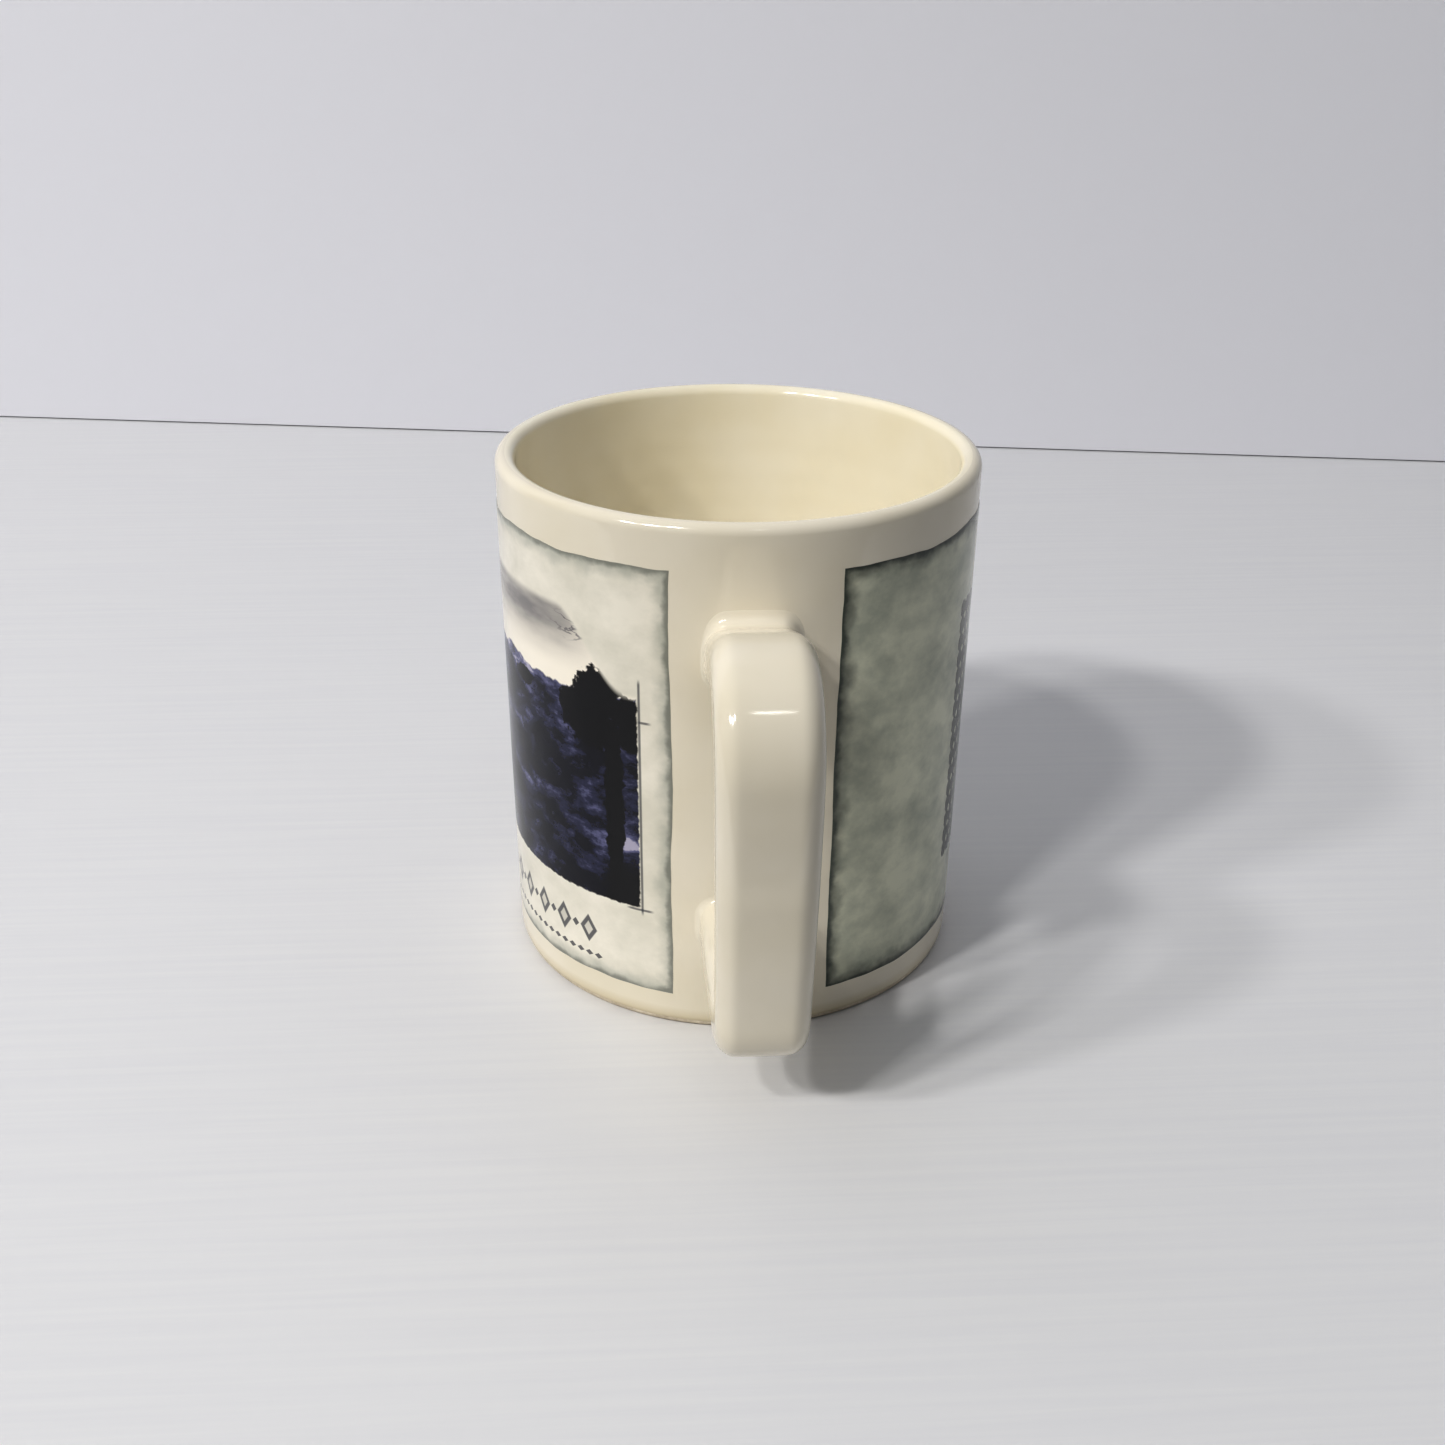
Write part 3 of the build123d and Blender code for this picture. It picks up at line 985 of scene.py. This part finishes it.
def put_camera():
    pitch, roll = math.radians(EYE_ELEVATION), math.radians(EYE_ROLL)
    back = TOWARDS * math.cos(pitch) + UPWARDS * math.sin(pitch)
    over = back.cross(ASIDE)
    right = ASIDE * math.cos(roll) + over * math.sin(roll)
    camera = bpy.data.objects.new("camera", bpy.data.cameras.new("camera"))
    camera.data.sensor_width = SENSOR_WIDTH
    camera.data.lens = LENS
    camera.data.clip_start = NEAREST_SEEN
    turn = Matrix((right, back.cross(right), back)).transposed().to_4x4()
    eye = seen(EYE_SIDESTEP, 0, AIM_HEIGHT) + back * EYE_DISTANCE * MM
    camera.matrix_world = Matrix.Translation(eye) @ turn
    bpy.context.scene.collection.objects.link(camera)
    bpy.context.scene.camera = camera


def put_lamp(name, shadow_angle, elevation, power, size):
    """A soft lamp some way off. Its shadows fall at an angle from the right towards beyond."""
    angle, height = math.radians(shadow_angle), math.radians(elevation)
    lamp = bpy.data.objects.new(name, bpy.data.lights.new(name, "AREA"))
    lamp.data.shape = "RECTANGLE"
    lamp.data.size, lamp.data.size_y = (side * MM for side in size)
    lamp.data.energy = power
    lamp.data.color = LAMP_COLOUR
    flat = LAMP_DISTANCE * math.cos(height)
    place = seen(-flat * math.cos(angle), -flat * math.sin(angle), LAMP_DISTANCE * math.sin(height))
    lamp.location = place
    lamp.rotation_euler = place.to_track_quat("Z", "Y").to_euler()
    bpy.context.scene.collection.objects.link(lamp)


def put_room_light():
    """Faintly cool light from the whole room: dim round about, bright from the ceiling."""
    world = bpy.data.worlds.new("room")
    world.use_nodes = True
    tree = world.node_tree
    tree.nodes.clear()
    way = add(tree, "TexCoord", take="Generated")
    upward = add(tree, "SeparateXYZ", [way], take="Z")
    upward = add(tree, "MapRange", [upward, 0.0, 1.0, 0.0, 1.0])
    upward = add(tree, "Math", [upward, 2.0], operation="POWER")
    strength = add(tree, "MapRange", [upward, 0.0, 1.0, *ROOM_LIGHT])
    sky = add(tree, "Background", [ROOM_COLOUR, strength])
    add(tree, "OutputWorld", {"Surface": sky})
    bpy.context.scene.world = world


def put_table_and_backdrop():
    """A table top, and a backdrop board that stands just clear of it in a line slightly askew."""
    left, right = Vector(BACKDROP_LEFT), Vector(BACKDROP_RIGHT)
    along = (right - left).normalized()
    a, b = left - along * BOARD_REACH, right + along * BOARD_REACH
    board_paint = painted_board("painted_backdrop_board", BACKDROP, BACKDROP, BOARD_ROUGHNESS, BOARD_GRAIN)
    table_paint = painted_board("painted_table_top", TABLE, TABLE_STREAK, TABLE_ROUGHNESS, TABLE_GRAIN)
    front, lap = -TABLE_FRONT, TABLE_UNDERLAP
    outline = ((a.x, front), (b.x, front), (b.x, b.y + lap), (a.x, a.y + lap))
    table = [seen(x, y) / MM for x, y in outline]
    table += [p - UPWARDS * TABLE_THICKNESS for p in table]
    heights = ((a, JOINT_GAP), (b, JOINT_GAP), (b, BOARD_HEIGHT), (a, BOARD_HEIGHT))
    wall = [seen(p.x, p.y, z) / MM for p, z in heights]
    wall += [p - TOWARDS * TABLE_THICKNESS for p in wall]
    sides = [(0, 1, 2, 3), (7, 6, 5, 4)] + [(i, i + 4, (i + 1) % 4 + 4, (i + 1) % 4) for i in range(4)]
    for name, corners, material in (("table", table, table_paint), ("backdrop", wall, board_paint)):
        piece_from(name, corners, sides, material)


# ---------------------------------------------------------------- making


def place_piece(piece, slot, *nodes):
    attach(piece, "root")
    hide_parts(*nodes)


glaze = cream_glaze("cream_earthenware_glaze", CREAM, CREAM_THICK)
# A paler copy of the glaze for the inside: painted light inside the cup.
inside_glaze_painted_lighter = cream_glaze("cream_glaze_inside_painted_lighter", CREAM_INSIDE_PAINTED_LIGHTER, CREAM_INSIDE_THICK_PAINTED_LIGHTER)
fired = biscuit("unglazed_fired_earthenware", BISCUIT_LIGHT, BISCUIT_DARK)
slip = biscuit("fired_joining_slip", SLIP_LIGHT, SLIP_DARK)

place_piece(fired_body(fired), "biscuit", "cup_body")
place_piece(fired_handle(fired), "biscuit", "handle")
place_piece(slip_joint("upper_handle_slip", False, slip), "slip", "upper_slip_joint")
place_piece(slip_joint("lower_handle_slip", True, slip), "slip", "lower_slip_joint")
place_piece(outside_glaze(glaze), "cream_glaze", "outer_glaze")
place_piece(inside_glaze(inside_glaze_painted_lighter), "cream_glaze", "inner_glaze")
place_piece(handle_glaze(glaze), "cream_glaze", "handle_glaze")
place_piece(recess_glaze(glaze), "cream_glaze", "foot_recess_glaze")
place_piece(
    printed_panel("left_printed_panel", -1, LEFT_GAP, 2.0, left_print()),
    "left_transfer", "left_panel_transfer",
)
place_piece(
    printed_panel("right_printed_panel", 1, RIGHT_GAP, 12.0, right_print()),
    "right_transfer", "right_panel_transfer",
)

put_camera()
put_room_light()
for lamp, settings in LAMPS.items():
    put_lamp(lamp, *settings)
put_table_and_backdrop()
bpy.context.scene.view_settings.view_transform = "Standard"
bpy.context.scene.view_settings.gamma = DISPLAY_GAMMA
